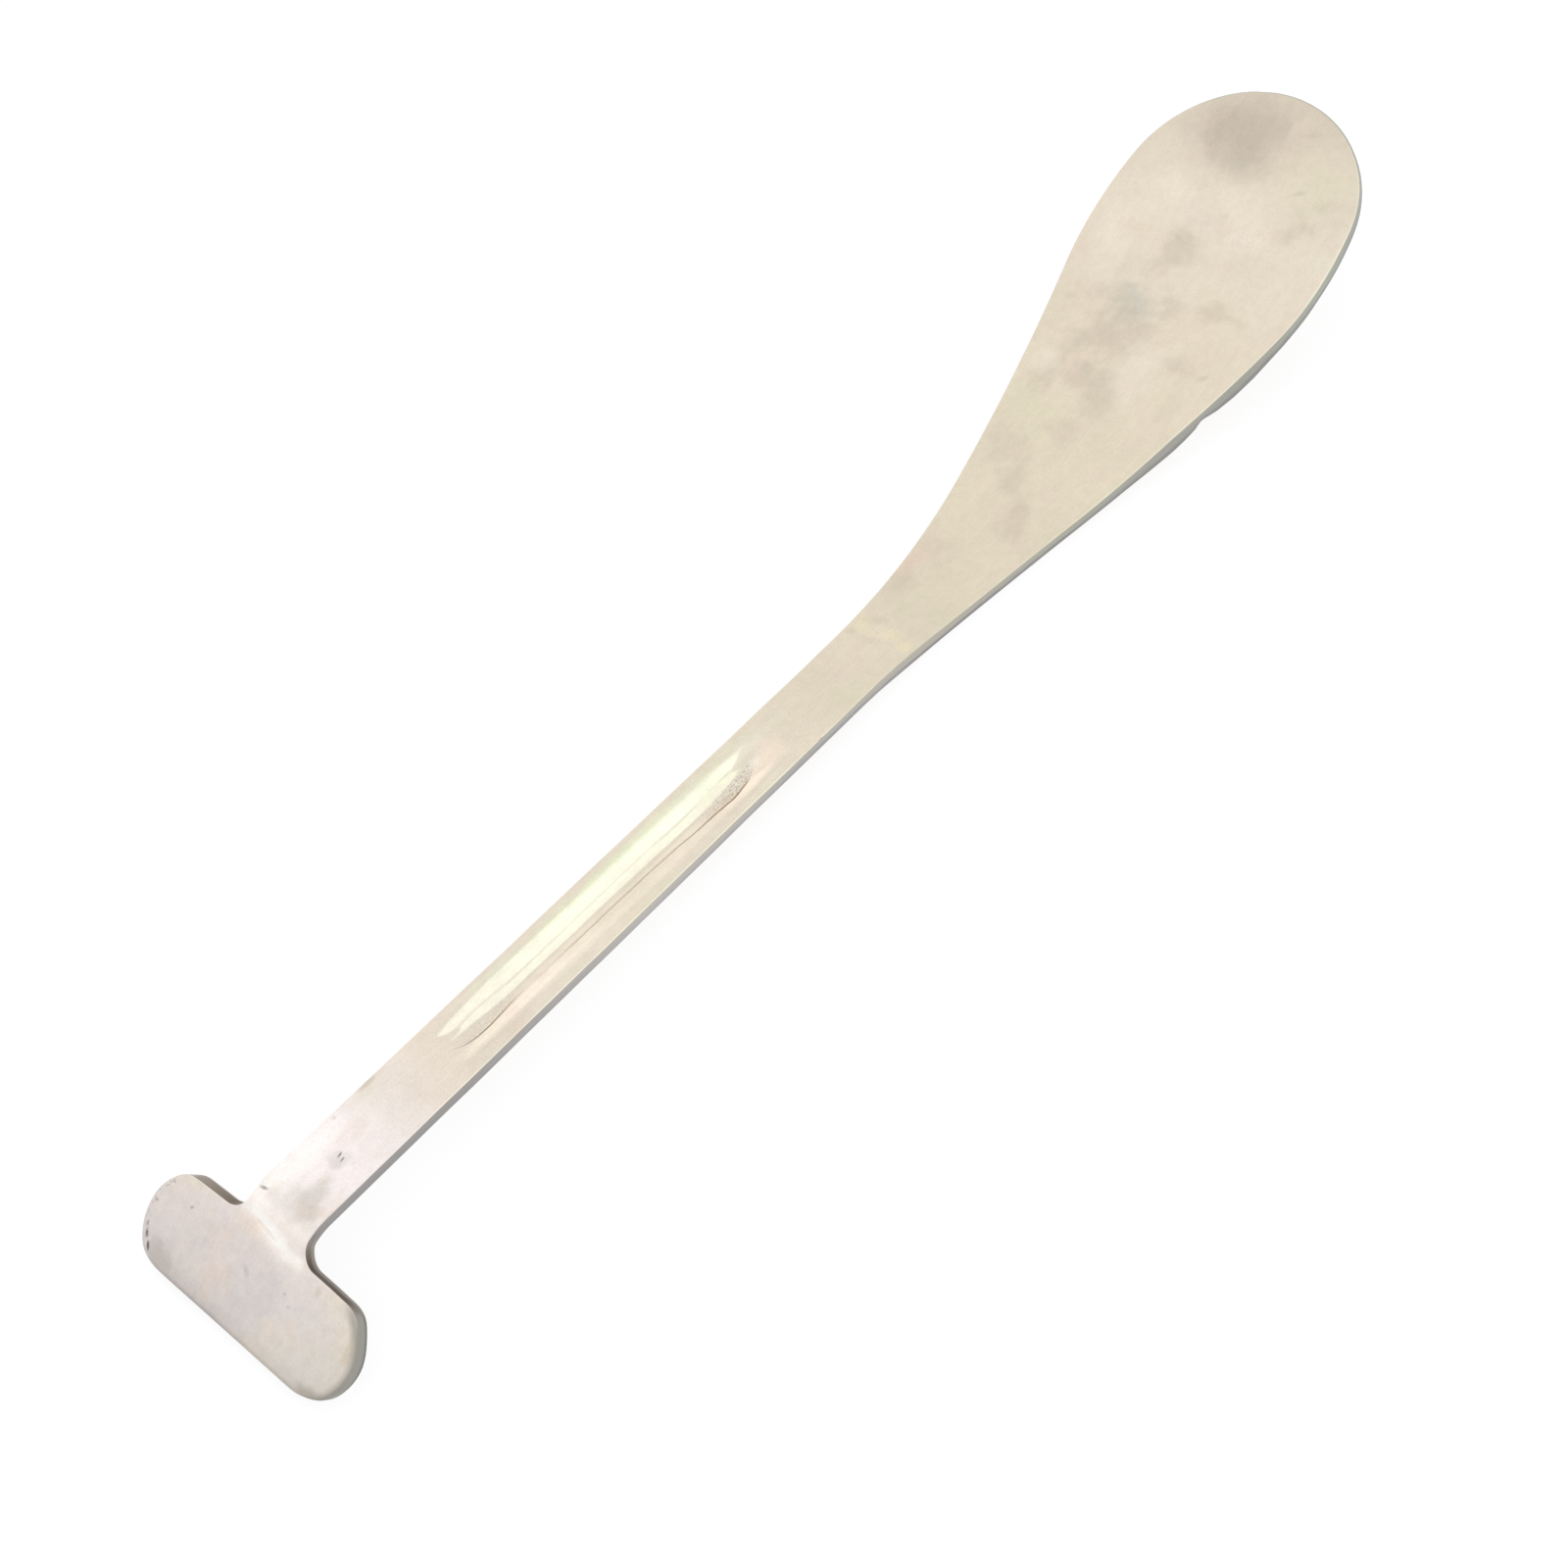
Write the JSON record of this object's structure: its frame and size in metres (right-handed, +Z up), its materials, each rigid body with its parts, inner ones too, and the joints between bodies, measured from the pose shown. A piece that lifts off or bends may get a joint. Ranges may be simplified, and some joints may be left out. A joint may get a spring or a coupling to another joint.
{
  "type": "gynecological spatula",
  "caption": "Steel spatula cut and bent from sheet: a pear-shaped blade curved upwards, a straight handle with a pressed groove, and a rounded end plate folded down like a T.",
  "frame": {"origin": "centre of the bounding box's base, on the ground that the spatula lies on", "axes": "+X along the spatula from the end plate to the blade's tip, +Y across it, +Z up, with the face the picture shows upwards"},
  "size_m": [0.2958, 0.051, 0.0307],
  "materials": {
    "steel": "satin, finely brushed along the handle, with cloudy stains on the blade and small nicks"
  },
  "bodies": {
    "root": {"spatula": "steel"}
  },
  "joints": []
}
